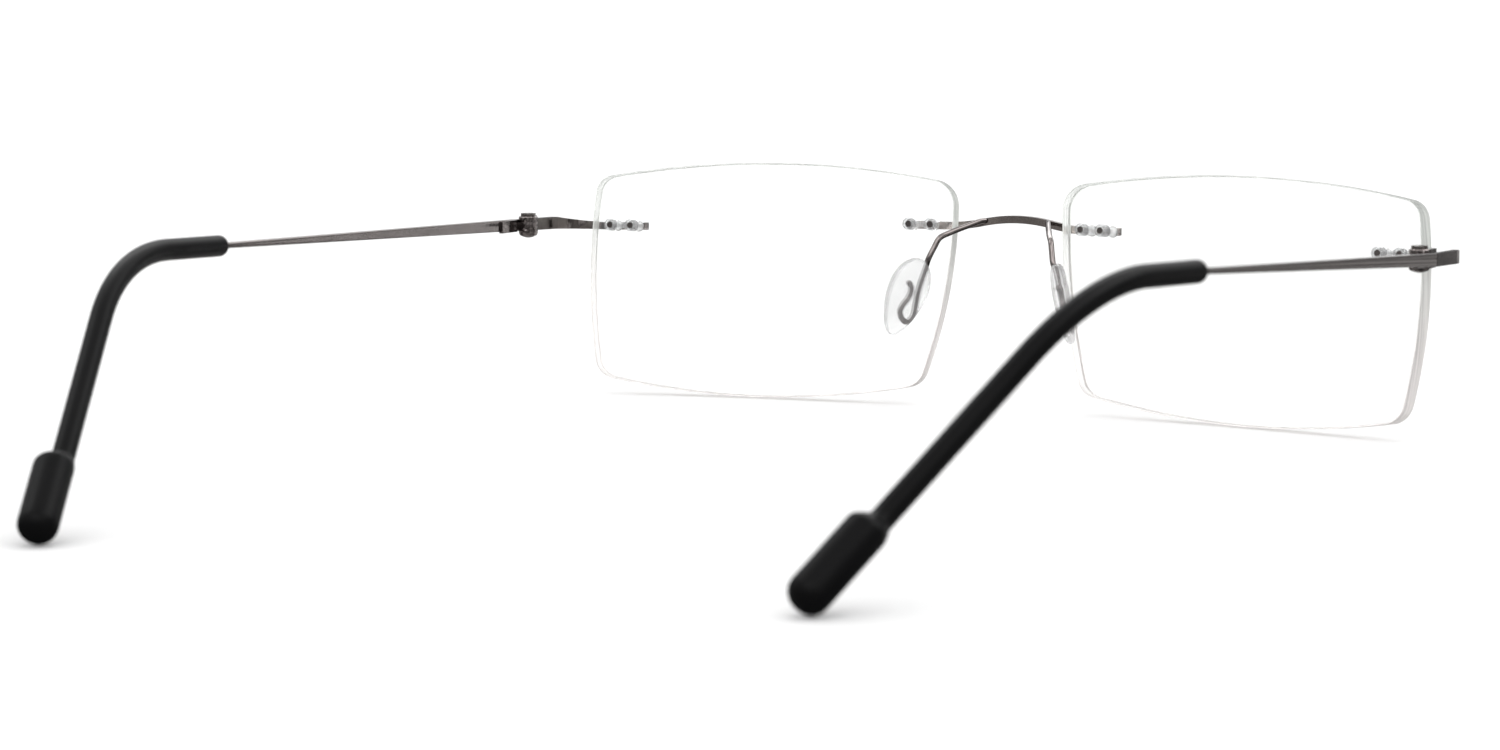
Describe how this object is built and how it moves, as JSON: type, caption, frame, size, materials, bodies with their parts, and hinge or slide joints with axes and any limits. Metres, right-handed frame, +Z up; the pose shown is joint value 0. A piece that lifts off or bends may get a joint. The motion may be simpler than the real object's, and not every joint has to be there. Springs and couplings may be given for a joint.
{
  "type": "rimless eyeglasses",
  "caption": "Rimless glasses: two drilled rectangular lenses, bridge with silicone nose pads, and folding wire temples with black sleeves and tip bulbs.",
  "frame": {"origin": "centre of the footprint, on the surface that the lens bottoms and temple tips stand on", "axes": "+X towards the wearer's left, +Y from the lenses back to the temple tips, +Z up"},
  "size_m": [0.1338, 0.1616, 0.0335],
  "materials": {
    "lens": "clear, polished, anti-reflection coated",
    "frame_metal": "polished gunmetal",
    "fastener_metal": "polished gunmetal",
    "sleeve_plastic": "clear, glossy",
    "pad_silicone": "clear, soft gloss",
    "tip_black": "satin black"
  },
  "bodies": {
    "front": {"lens_left": "lens", "lens_right": "lens", "bridge_bar": "frame_metal", "bridge_pins": "fastener_metal", "pad_arm_left": "frame_metal", "pad_arm_right": "frame_metal", "nose_pad_left": "pad_silicone", "nose_pad_right": "pad_silicone", "end_piece_left": "frame_metal", "end_piece_right": "frame_metal", "end_piece_pins_left": "fastener_metal", "end_piece_pins_right": "fastener_metal", "lens_sleeve_nasal_left": "sleeve_plastic", "lens_sleeve_nasal_right": "sleeve_plastic", "lens_sleeve_temporal_left": "sleeve_plastic", "lens_sleeve_temporal_right": "sleeve_plastic", "hinge_front_left": "frame_metal", "hinge_front_right": "frame_metal", "hinge_screw_left": "fastener_metal", "hinge_screw_right": "fastener_metal"},
    "temple_left": {"hinge_rear_left": "frame_metal", "temple_bar_left": "frame_metal", "temple_sleeve_left": "tip_black", "temple_tip_left": "tip_black"},
    "temple_right": {"hinge_rear_right": "frame_metal", "temple_bar_right": "frame_metal", "temple_sleeve_right": "tip_black", "temple_tip_right": "tip_black"}
  },
  "joints": [
    {"name": "temple_left_fold", "type": "hinge", "parent": "front", "child": "temple_left", "pos_m": [0.06457, -0.05541, 0.0249], "axis": [0, 0, 1], "range_deg": [0, 86]},
    {"name": "temple_right_fold", "type": "hinge", "parent": "front", "child": "temple_right", "pos_m": [-0.06457, -0.05541, 0.0249], "axis": [0, 0, -1], "range_deg": [0, 78]}
  ]
}
